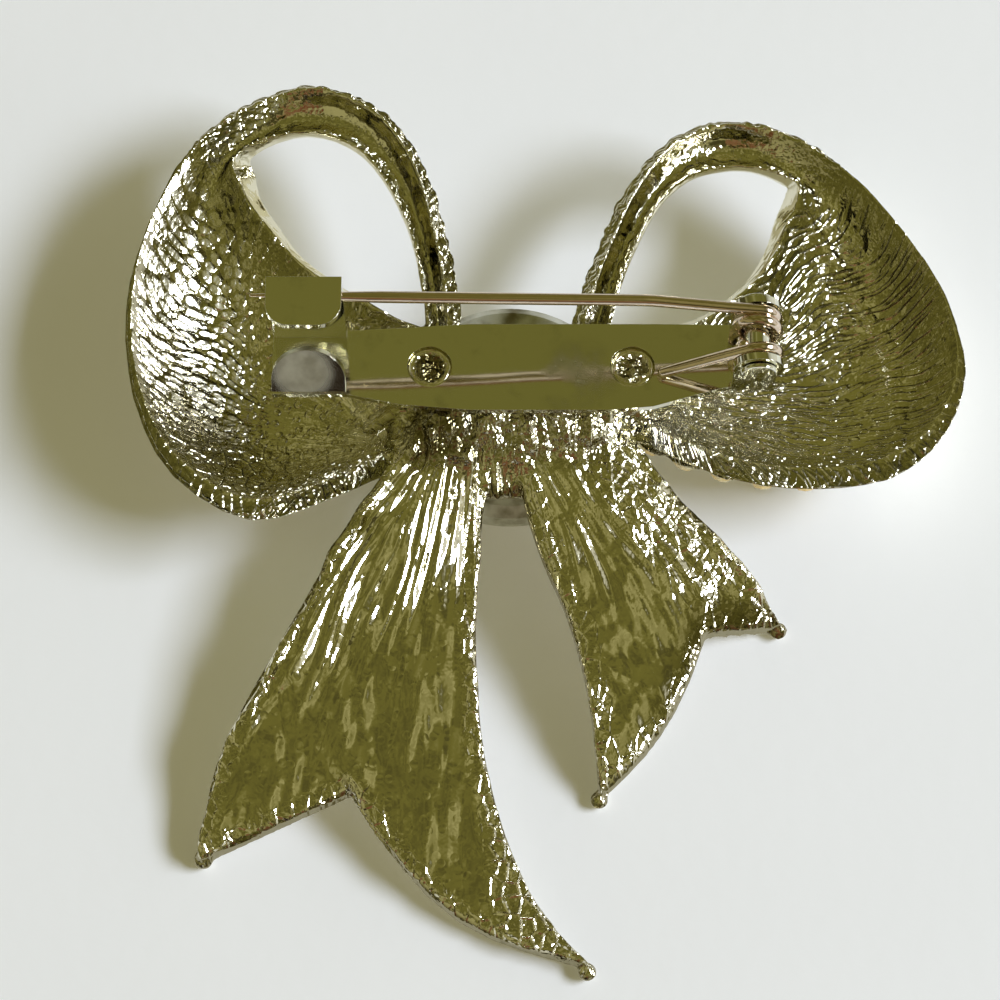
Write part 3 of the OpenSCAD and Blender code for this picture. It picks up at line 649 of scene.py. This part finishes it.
class Relief:
    """The finish of the casting at any place, in millimetres from the middle of the knot."""

    def __init__(self, sizes):
        self.swell = sizes.swell / MM
        self.ridge = sizes.ridge / MM
        self.crinkle = sizes.crinkle / MM

    def at(self, place, normal, edge):
        """The finish at a place, where edge is the distance from a tail's side wall."""
        flat = place.xy
        for stud in STUDS:
            away = (flat - stud).length
            if place.z > STUD_LEVEL and away < STUD_RADIUS + 0.4:
                return self.stud(flat, away)
        back = smooth_step(normal.z, 0.0, 0.3)
        below = smooth_step(-flat.y, 4.4, 6.4)
        tail = 1 - self.beyond(flat.x, flat.y, RIGHT_BORDER)
        tail *= 1 - self.beyond(-flat.x, flat.y, LEFT_BORDER)
        side = smooth_step(abs(flat.x), KNOT_SIDE - 0.8, KNOT_SIDE + 0.8)
        above = smooth_step(flat.y, 2.6, 4.2)
        loop_share = max(side, above)
        if below * tail > 0.999:
            return self.tail(flat, edge, back, normal)
        if loop_share > 0.001:
            found = self.loop(flat, place.z, normal, back)
        else:
            found = self.knot(flat, place.z, back)
        if 0.001 < loop_share < 0.999:
            found = self.knot(flat, place.z, back).mixed(found, loop_share)
        lower = max(below, side) * tail * smooth_step(-flat.y, 2.4, 4.4)
        if lower > 0.001:
            found = found.mixed(self.tail(flat, edge, back, normal), lower)
        return found

    def beyond(self, out, y, border):
        """How far a place is past the slanting border between a tail and a loop."""
        height, slant = border
        return smooth_step(out - (KNOT_SIDE - (y - height) * slant), -BORDER_BLEND, BORDER_BLEND)

    def stud(self, flat, away):
        """A peened stud: a smooth rim round a rough, sunken middle."""
        rim = max(0.0, 1 - ((away - STUD_RADIUS * 0.86) / 0.2) ** 2)
        inner = 1 - smooth_step(away, STUD_RADIUS * 0.6, STUD_RADIUS * 0.8)
        rough = wave(flat.x * 1.5, flat.y * 1.5, 51) + wave(flat.x * 3.0, flat.y * 3.0, 52) * 0.5
        height = rim * 0.08 + inner * (rough * 0.14 - 0.06)
        # The stud's sunken middle is darkened, far more on the left stud than on the right one.
        made = Finish(height, tuple(flat), crinkles=inner * 2.2, polish=0.3,
                      stain_and_shade=inner * (0.9 if flat.x < 0 else 0.15))
        made.lift = inner * 2.0
        return made

    def wall(self, normal):
        """How far a place is a steep side wall."""
        return (1 - smooth_step(normal.z, 0.45, 0.85)) * smooth_step(normal.z, -0.6, -0.2)

    def streaks(self, along, across, strong):
        """Lengthwise streaks of a tail, with fainter ones between them."""
        bend = across + wave(along * 0.12, across * 0.25, 3) * 0.5
        broad = wave(along * 0.16, bend * 1.6, 11)
        fine = wave(along * 0.3, bend * 3.4, 12) * 0.35
        return (broad + fine) * self.swell * strong, bend

    def tail(self, flat, edge, back, normal):
        divide = (flat.x - TAILS_CUT[0][0]) * TAILS_CUT[1][0] + (flat.y - TAILS_CUT[0][1]) * TAILS_CUT[1][1]
        out = flat - TAIL_FAN
        along, across = out.length, math.atan2(out.x, -out.y) * 20
        part = self.left_tail if divide < 0 else self.right_tail
        found = part(flat, edge, back, along, across)
        # Painted shade: the tail's steep side walls are darkened.
        found.stain_and_shade = self.wall(normal) * 0.8
        found.lift = self.wall(normal) * 0.5
        return found

    def left_tail(self, flat, edge, back, along, across):
        low = smooth_step(-flat.y + 0.73 * (flat.x + 13.7), 17, 22)
        height, bend = self.streaks(along, across, 1 - low * 0.8)
        height += wave(flat.x * 1.2, flat.y * 0.3, 15) * self.swell * (0.1 + 0.2 * low)
        height += wave(flat.x * 0.45, flat.y * 0.35, 16) * self.swell * 0.9
        right = smooth_step(flat.x + 0.12 * (flat.y + 16), -3.4, -2.4) * smooth_step(-flat.y, 12, 16)
        border = 1 - smooth_step(edge, 0.7, 1.3)
        strip = max(right, border * 0.55)
        calm = back * smooth_step(edge, 0.1, 0.9)
        return Finish(height * back, (along, bend), beads=right * 0.2, net=strip, crinkles=0.06 + strip * 0.4,
                      dots=0.15, polish=1.0,
                      facing=(0.85 * calm, 0.3, 0.30 * (1 - low), -0.24 * (1 - low)))

    def right_tail(self, flat, edge, back, along, across):
        low = smooth_step(-flat.y, 9, 15)
        height, bend = self.streaks(along, across, 0.6 - low * 0.42)
        height += wave(flat.x * 0.45, flat.y * 0.35, 18) * self.swell * (0.5 + 0.5 * low)
        height += wave(flat.x * 0.9, flat.y * 0.8, 19) * self.swell * 0.25
        border = 1 - smooth_step(edge, 0.9, 1.7)
        right = smooth_step(flat.x + 0.9 * flat.y, -3.0, 0.5) * (1 - low * 0.6)
        strip = max(border * 0.6, right * 0.7)
        calm = back * smooth_step(edge, 0.1, 0.9)
        return Finish(height * back, (along, bend), net=strip * 0.8, crinkles=0.06 + strip * 0.35,
                      dots=0.1, polish=1.0,
                      facing=(0.85 * calm, 0.25, 0.16 * (1 - low) - 0.03, -0.14 * (1 - low)))

    def knot(self, flat, z, back):
        seat = smooth_step(z, 8.9, 9.5) * (1 - smooth_step(abs(flat.y), 2.6, 3.4))
        bend = flat.x + wave(flat.x * 0.4, flat.y * 0.6, 20) * 0.6
        folds = wave(bend * 1.1, flat.y * 0.28, 21) + wave(flat.x * 1.4, flat.y * 0.9, 22) * 0.7
        # Painted shade over the knot, deepest towards its left.
        made = Finish(folds * self.crinkle * 1.5 * (0.35 + 0.65 * back), (flat.y * 1.1, flat.x * 1.05),
                      beads=0.15, threads=0.45, crinkles=0.9, stain_and_shade=0.3 + 0.5 * smooth_step(-flat.x, 1, 4))
        return made.faded(1 - seat, 0)

    def loop(self, flat, z, normal, back):
        """A loop: its broad lobe, its narrow arch, its rounded rim and the polished lip of its hole."""
        left = flat.x < 0
        fan, hole, turn = (LEFT_FAN, LEFT_HOLE, -1) if left else (RIGHT_FAN, RIGHT_HOLE, 1)
        to_hole = hole - flat
        angle = math.degrees(math.atan2(-to_hole.y, to_hole.x * turn))
        arch = smooth_step(angle, -80, -66) * (1 - smooth_step(angle, 148, 166))
        inward = to_hole.normalized().dot(normal.xy)
        lip = smooth_step(inward, 0.4, 0.7) * smooth_step(9.5 - to_hole.length, 0, 2)
        rim = smooth_step(z, 6.8, 7.6)
        out = flat - fan
        along, across = out.length, math.atan2(out.y, out.x * turn) * 14
        across += wave(along * 0.25, across * 0.25, 5) * 0.5
        found = None
        if arch < 0.999:
            lobe = self.left_lobe(flat, along, across) if left else self.right_lobe(flat, along, across)
            found = lobe.faded((1 - rim * 0.5) * (0.4 + 0.6 * back), rim * 0.5)
        if arch > 0.001:
            bar = self.arch(flat, z, normal, inward, left)
            found = found.mixed(bar, arch) if found else bar
        found = found.faded(1 - lip * 0.7, lip)
        # Painted shade: the loop's steep walls are darkened, except at the lip of its hole.
        found.stain_and_shade = self.wall(normal) * 0.45 * (1 - lip)
        found.lift = self.wall(normal) * (0.6 + 0.5 * arch) * (1 - lip)
        return found

    def arch(self, flat, z, normal, inward, left):
        """A loop's arch: smooth on its back, crinkled on its outer side, pebbled where it faces right."""
        outer = smooth_step(-inward, 0.15, 0.55)
        lumps = (cells(flat.x / 1.15, (flat.y + z) / 1.15, 41) - 0.5) * self.crinkle * 2.2
        dents = wave(flat.x * 0.5, flat.y * 0.5, 42) * self.crinkle * 0.35
        facing = smooth_step(normal.x, 0.02, 0.4)
        pebbles = facing * (0.9 if left else 0.45)
        return Finish(lumps * outer * 0.35 + dents, (flat.x * 1.35, (flat.y + z) * 0.6), beads=pebbles,
                      crinkles=0.4 + outer * 0.4, net=0.3 * facing, polish=0.8,
                      facing=(facing * (0.8 if left else 0.5), 0.3, 0.36, -0.22))

    def left_lobe(self, flat, along, across):
        """Rows of long beads above, and a flat net with pebbles below."""
        high = smooth_step(flat.y + 0.3 * flat.x, -9.5, -4.5)
        open_side = high * (1 - smooth_step(flat.x, -17, -13))
        swell = wave(along * 0.2, across * 0.6, 32)
        fine = smooth_step(flat.x, -18.5, -15)
        return Finish(swell * self.swell * (0.2 + 0.2 * high), (along, across),
                      beads=(0.25 + 0.75 * high) * (1 - 0.85 * fine), threads=0.3 * (1 - high),
                      net=1.0 * (1 - high), crinkles=0.22 + 0.33 * (1 - high), polish=0.7,
                      dots=0.2 + 0.7 * fine,
                      facing=(0.9, 1 - 0.65 * open_side, 0.17 + 0.12 * open_side, -0.13 - 0.03 * open_side))

    def right_lobe(self, flat, along, across):
        """Thin wandering threads with small dots between them, and one long ridge on the right."""
        low = 1 - smooth_step(flat.y + 0.15 * flat.x, -2.0, 2.5)
        swell = wave(along * 0.2, across * 0.5, 37)
        bend = along - 16.0 + wave(across * 0.12, 0, 38) * 1.2
        near = 1 - smooth_step(flat.x, 19, 23)
        ridge = max(0.0, 1 - (bend / 0.55) ** 2)
        return Finish(swell * self.swell * 0.3 + ridge * self.ridge * 1.8, (along, across), threads=1.0,
                      net=0.25 * low, crinkles=0.28, dots=0.6 + 0.3 * low, polish=0.9,
                      facing=(0.95, 0.5 - 0.3 * near, 0.17 - 0.17 * near, -0.13 + 0.13 * near))


class BROOCH_OT_casting(bpy.types.Operator):
    """Remeshes the casting finely, gives it its cast relief and splits it into its five parts"""

    bl_idname = "brooch.casting"
    bl_label = "Casting"

    def execute(self, context):
        sizes = context.scene.brooch_casting
        silver = cast_silver(context.scene.brooch_finish)
        whole = self.fine_mesh(context, sizes)
        self.give_relief(whole, Relief(sizes), EvenNormals(whole, sizes.even_reach, sizes.even_step))
        for name, bm in self.cut_up(whole).items():
            shade = bm.verts.layers.float_vector["shade"]
            normals = [vertex[shade].normalized() for vertex in bm.verts]
            for face in bm.faces:
                face.smooth = True
            mesh = bpy.data.meshes.new(name)
            bm.to_mesh(mesh)
            bm.free()
            mesh.attributes.remove(mesh.attributes["shade"])
            mesh.normals_split_custom_set_from_vertices(normals)
            new_piece(name, mesh, "brooch", silver, ["bow_casting"])
        bpy.data.meshes.remove(whole)
        return {"FINISHED"}

    def fine_mesh(self, context, sizes):
        bm = merged_copy("bow_casting")
        mesh = bpy.data.meshes.new("casting")
        bm.to_mesh(mesh)
        bm.free()
        obj = bpy.data.objects.new("casting", mesh)
        context.scene.collection.objects.link(obj)
        remesh = obj.modifiers.new("grid", "REMESH")
        remesh.mode = "VOXEL"
        remesh.voxel_size = sizes.grid
        remesh.use_smooth_shade = True
        smooth = obj.modifiers.new("smooth", "SMOOTH")
        smooth.iterations = sizes.passes
        smooth.factor = 0.5
        shown = obj.evaluated_get(context.evaluated_depsgraph_get())
        fine = bpy.data.meshes.new_from_object(shown)
        bpy.data.objects.remove(obj)
        bpy.data.meshes.remove(mesh)
        if len(fine.vertices) < 1000:
            raise RuntimeError("the casting's fine mesh came out empty")
        return fine

    def give_relief(self, mesh, relief, even):
        """Moves the vertices out by the relief, and keeps the patterns and normals as attributes."""
        walls = self.side_walls(mesh)
        kept = {"flow": [], "pattern": [], "detail": []}
        moved = []
        turned = []
        for vertex in mesh.vertices:
            place = (vertex.co - KNOT) / MM
            edge = walls.find(vertex.co)[2] / MM if place.y < 0 else 9
            found = relief.at(place, vertex.normal, edge)
            # The flow's third number carries the stain and painted shade.
            kept["flow"] += [*found.flow, found.stain_and_shade]
            kept["pattern"] += found.pattern
            kept["detail"] += found.detail
            moved.append(vertex.co + vertex.normal * found.height * MM)
            share, tilt, lean_x, lean_y = found.facing
            turned.append((vertex.normal + Vector((0, 0, found.lift))).normalized() - vertex.normal)
            if share > 0.01:
                way = even.at(vertex.co)
                way = Vector((way.x * tilt + lean_x, way.y * tilt + lean_y, way.z)).normalized()
                turned[-1] += (way - vertex.normal) * share
        for vertex, place in zip(mesh.vertices, moved):
            vertex.co = place
        mesh.update()
        kept["shade"] = [part for vertex, turn in zip(mesh.vertices, turned) for part in vertex.normal + turn]
        for name, values in kept.items():
            mesh.attributes.new(name, "FLOAT_VECTOR", "POINT").data.foreach_set("vector", values)

    def side_walls(self, mesh):
        """The tails' steep side walls, to measure distances from."""
        steep = [vertex.co for vertex in mesh.vertices
                 if abs(vertex.normal.z) < 0.35 and (vertex.co - KNOT).y < KNOT_BOTTOM * MM]
        tree = kdtree.KDTree(len(steep))
        for i, place in enumerate(steep):
            tree.insert(place, i)
        tree.balance()
        return tree

    def cut_up(self, whole):
        """The casting cut along upright planes into five pieces."""
        bm = bmesh.new()
        bm.from_mesh(whole)
        upper, lower = self.halves(bm, (0, KNOT_BOTTOM), (0, 1))
        left, upper = self.halves(upper, (-KNOT_SIDE, 0), (-1, 0))
        right, knot = self.halves(upper, (KNOT_SIDE, 0), (1, 0))
        left_low, lower = self.halves(lower, *LEFT_CUT)
        right_low, lower = self.halves(lower, *RIGHT_CUT)
        right_tail, left_tail = self.halves(lower, *TAILS_CUT)
        for loop, low in ((left, left_low), (right, right_low)):
            part = bpy.data.meshes.new("low")
            low.to_mesh(part)
            low.free()
            loop.from_mesh(part)
            bpy.data.meshes.remove(part)
        return {"left_loop": left, "right_loop": right, "knot": knot,
                "left_tail": left_tail, "right_tail": right_tail}

    def halves(self, bm, point, way):
        """A closed solid cut by an upright plane: the part on the side of way, and the rest."""
        where = KNOT + Vector((*point, 0)) * MM
        way = Vector((*way, 0)).normalized()
        rest = bm.copy()
        for part, out in ((bm, -way), (rest, way)):
            bmesh.ops.bisect_plane(part, geom=part.verts[:] + part.edges[:] + part.faces[:], plane_co=where,
                                   plane_no=way, clear_inner=part is bm, clear_outer=part is rest)
            rims = [edge for edge in part.edges if edge.is_boundary]
            made = bmesh.ops.triangle_fill(part, use_beauty=False, edges=rims, normal=out)
            for face in made["geom"]:
                if isinstance(face, bmesh.types.BMFace) and face.normal.dot(out) < 0:
                    face.normal_flip()
        return bm, rest


class BROOCH_OT_setting(bpy.types.Operator):
    """Finishes the round setting under the knot and its stone"""

    bl_idname = "brooch.setting"
    bl_label = "Round setting"

    def execute(self, context):
        finish = context.scene.brooch_finish
        set_material(NODES["centre_setting"], dull_metal(finish))
        set_material(NODES["centre_stone"], pearl_glaze(finish))
        return {"FINISHED"}


class BROOCH_OT_edge_stones(bpy.types.Operator):
    """Finishes the small cut stones along the right loop"""

    bl_idname = "brooch.edge_stones"
    bl_label = "Small stones"

    def execute(self, context):
        amber = amber_glass(context.scene.brooch_finish)
        for name in EDGE_STONES:
            set_material(NODES[name], amber)
        return {"FINISHED"}


class BROOCH_OT_pin_back(bpy.types.Operator):
    """Finishes the pin plate, its hinge and the pin"""

    bl_idname = "brooch.pin_back"
    bl_label = "Pin back"

    def execute(self, context):
        finish = context.scene.brooch_finish
        sheet = sheet_metal(finish)
        wire = wire_metal(finish)
        sizes = context.scene.brooch_pin
        self.rounded("pin_plate", "plate_sheet", sheet, sizes.plate_edge)
        self.rounded("hinge_rivet", "peened_rivet", sheet, sizes.rivet_edge)
        path, radii = self.pin_path(sizes)
        new_piece("pin_wire", tube("pin_wire", path, radii), "pin", wire, ["pin_stem"])
        path = self.tail_path(sizes)
        mesh = tube("spring_wire", path, [sizes.radius] * len(path))
        new_piece("spring_wire", mesh, "brooch", wire, ["spring_tail"])
        return {"FINISHED"}

    def coil(self, sizes, turns, end, drop):
        """Points of a coil round the hinge that ends at the angle end, drop below the first turn."""
        points = []
        steps = round(turns * 40)
        for i in range(steps + 1):
            back = turns * (1 - i / steps)
            angle = end - back * 2 * math.pi
            points.append(HINGE + Vector((sizes.coil * math.cos(angle), -drop, sizes.coil * math.sin(angle))))
        return points, steps

    def pin_path(self, sizes):
        """The pin's middle line from its first turn to its tip, and its radius at each point."""
        points, steps = self.coil(sizes, sizes.turns, sizes.coil_end, 0)
        for i, point in enumerate(points):
            point.y -= (1 - i / steps) * sizes.turns * sizes.pitch
        second = PIN_BENDS[1]
        way = (PIN_CATCH - second) / (second.x - PIN_CATCH.x)
        last = second + way * (PIN_END + second.x)
        corners = [points[-1], *(HINGE + bend * MM for bend in PIN_BENDS), HINGE + last * MM]
        points += rounded_corners(corners, sizes.bend)[1:]
        tapered = []
        for i in range(1, 13):
            tapered.append(points[-2].lerp(points[-1], i / 12))
        points = points[:-1] + tapered
        taper = (PIN_END - PIN_TAPER_START) * MM
        radii = []
        for point in points:
            left = (point - points[-1]).length
            radii.append(sizes.tip + (sizes.radius - sizes.tip) * min(1.0, left / taper))
        return points, radii

    def tail_path(self, sizes):
        """The middle line of the wire's short end, from its turn round the hinge to the plate."""
        start = math.radians(90) + sizes.tail_slope
        points, steps = self.coil(sizes, sizes.tail_turns, start, sizes.tail_drop)
        for i, point in enumerate(points):
            point.y += (1 - i / steps) * sizes.tail_turns * sizes.tail_pitch
        way = Vector((-math.cos(sizes.tail_slope), 0, -math.sin(sizes.tail_slope)))
        return points + [points[-1] + way * sizes.tail_length * share for share in (0.25, 0.5, 0.75, 1)]

    def rounded(self, name, piece, made, width):
        """A copy of a CAD node with its sharp edges rounded, in the node's place."""
        bm = merged_copy(name)
        bmesh.ops.dissolve_limit(bm, angle_limit=math.radians(0.5), verts=bm.verts, edges=bm.edges)
        sharp = [edge for edge in bm.edges
                 if len(edge.link_faces) == 2 and edge.calc_face_angle() > math.radians(50)]
        bmesh.ops.bevel(bm, geom=sharp, offset=width, segments=3, affect="EDGES", profile=0.5, material=-1,
                        clamp_overlap=True)
        bmesh.ops.triangulate(bm, faces=bm.faces)
        bm.normal_update()
        normals = []
        for vertex in bm.verts:
            shaded = Vector((0, 0, 0))
            for face in vertex.link_faces:
                shaded += face.normal * (face.calc_area() / MM ** 2) ** 2
            normals.append(shaded.normalized())
        for face in bm.faces:
            face.smooth = True
        mesh = bpy.data.meshes.new(piece)
        bm.to_mesh(mesh)
        bm.free()
        mesh.normals_split_custom_set_from_vertices(normals)
        new_piece(piece, mesh, "brooch", made, [name])


class BROOCH_OT_stage(bpy.types.Operator):
    """Makes the pale surface, the light and the camera"""

    bl_idname = "brooch.stage"
    bl_label = "Stage"

    def execute(self, context):
        stage = context.scene.brooch_stage
        self.surface(stage)
        self.window(context, stage)
        self.surroundings(context, context.scene.brooch_room)
        self.camera(context, stage)
        context.scene.view_settings.view_transform = "Standard"
        return {"FINISHED"}

    def surface(self, stage):
        bm = bmesh.new()
        bmesh.ops.create_grid(bm, x_segments=1, y_segments=1, size=stage.floor_reach)
        mesh = bpy.data.meshes.new("surface")
        bm.to_mesh(mesh)
        bm.free()
        obj = bpy.data.objects.new("surface", mesh)
        bpy.context.scene.collection.objects.link(obj)
        set_material(obj, floor_paper(stage))

    def window(self, context, stage):
        """The one window that the light comes from, at the right."""
        light = bpy.data.lights.new("window", "AREA")
        light.shape = "RECTANGLE"
        light.size = stage.window_width
        light.size_y = stage.window_height
        light.energy = stage.window * math.pi * stage.window_width * stage.window_height
        light.color = stage.window_tint
        obj = bpy.data.objects.new("window", light)
        context.scene.collection.objects.link(obj)
        flat = math.cos(stage.window_rise)
        way = Vector((flat * math.cos(stage.window_turn), flat * math.sin(stage.window_turn),
                      math.sin(stage.window_rise)))
        obj.location = KNOT + way * stage.window_distance
        obj.rotation_euler = (-way).to_track_quat("-Z", "Y").to_euler()

    def surroundings(self, context, room):
        """A dim olive ceiling, paler walls and a few dark and ruddy things that the metal mirrors."""
        world = bpy.data.worlds.new("room")
        context.scene.world = world
        world.use_nodes = True
        tree = world.node_tree
        way = node(tree, "ShaderNodeTexCoord", None, None, 0)
        x, y, z = parts_of(tree, way)

        def patch(direction, near, far):
            """1 within a patch round a direction, 0 outside it."""
            point = Vector(direction).normalized()
            facing = x * point.x + y * point.y + z * point.z
            return facing.step(math.cos(math.radians(far)), math.cos(math.radians(near)))

        mottle = grain(tree, way, 2.6, 1)
        ceiling = blend_colours(tree, mottle.step(0.26, 0.56), room.dusk, room.olive)
        ceiling = blend_colours(tree, mottle.step(0.50, 0.82), ceiling, room.straw)
        ceiling = blend_colours(tree, patch((0, 0.39, 0.92), 8, 17) * 0.85, ceiling, room.olive)
        wall = blend_colours(tree, mottle.step(0.40, 0.56), room.wall_dark, room.wall_pale)
        tone = blend_colours(tree, patch((0, 0.2, 1), 42, 56), wall, ceiling)
        glow = blend_colours(tree, mottle.step(0.36, 0.50), room.glow_dark, room.glow_pale)
        tone = blend_colours(tree, patch((0.95, 0.1, 0.3), 24, 40), tone, glow)
        tone = blend_colours(tree, patch((0, -1, 0.55), 10, 21) * 0.8, tone, room.ruddy)
        front = blend_colours(tree, mottle.step(0.45, 0.58), room.front_dark, room.front_pale)
        tone = blend_colours(tree, patch((0, -1, 0.0), 14, 22), tone, front)
        tree.links.new(tone.socket, tree.nodes["Background"].inputs["Color"])
        tree.nodes["Background"].inputs["Strength"].default_value = 1.0

    def camera(self, context, stage):
        data = bpy.data.cameras.new("camera")
        data.sensor_width = 36
        data.lens = data.sensor_width * stage.distance / stage.across
        data.clip_start = 10 * MM
        obj = bpy.data.objects.new("camera", data)
        context.scene.collection.objects.link(obj)
        back = Vector((0, -math.cos(stage.elevation), math.sin(stage.elevation)))
        target = Vector(stage.aim)
        turn = (-back).to_track_quat("-Z", "Y").to_matrix().to_4x4()
        obj.matrix_world = Matrix.Translation(target + back * stage.distance) @ turn
        context.scene.camera = obj


class BROOCH_PT_panel(bpy.types.Panel):
    bl_label = "Bow brooch"
    bl_space_type = "VIEW_3D"
    bl_region_type = "UI"
    bl_category = "Brooch"

    def draw(self, context):
        for name in GROUPS:
            box = self.layout.box()
            settings = getattr(context.scene, name)
            for prop in settings.__annotations__:
                box.prop(settings, prop)
        for operator in OPERATORS:
            self.layout.operator(operator.bl_idname)


GROUPS = {
    "brooch_casting": BroochCasting,
    "brooch_pin": BroochPin,
    "brooch_finish": BroochFinish,
    "brooch_stage": BroochStage,
    "brooch_room": BroochRoom,
}
OPERATORS = (BROOCH_OT_casting, BROOCH_OT_setting, BROOCH_OT_edge_stones, BROOCH_OT_pin_back, BROOCH_OT_stage)
CLASSES = (*GROUPS.values(), *OPERATORS, BROOCH_PT_panel)


def register():
    for cls in CLASSES:
        bpy.utils.register_class(cls)
    for name, group in GROUPS.items():
        setattr(bpy.types.Scene, name, PointerProperty(type=group))


def unregister():
    for name in GROUPS:
        delattr(bpy.types.Scene, name)
    for cls in reversed(CLASSES):
        bpy.utils.unregister_class(cls)


def main():
    register()
    bpy.ops.brooch.casting()
    bpy.ops.brooch.setting()
    bpy.ops.brooch.edge_stones()
    bpy.ops.brooch.pin_back()
    bpy.ops.brooch.stage()


if __name__ == "__main__":
    main()
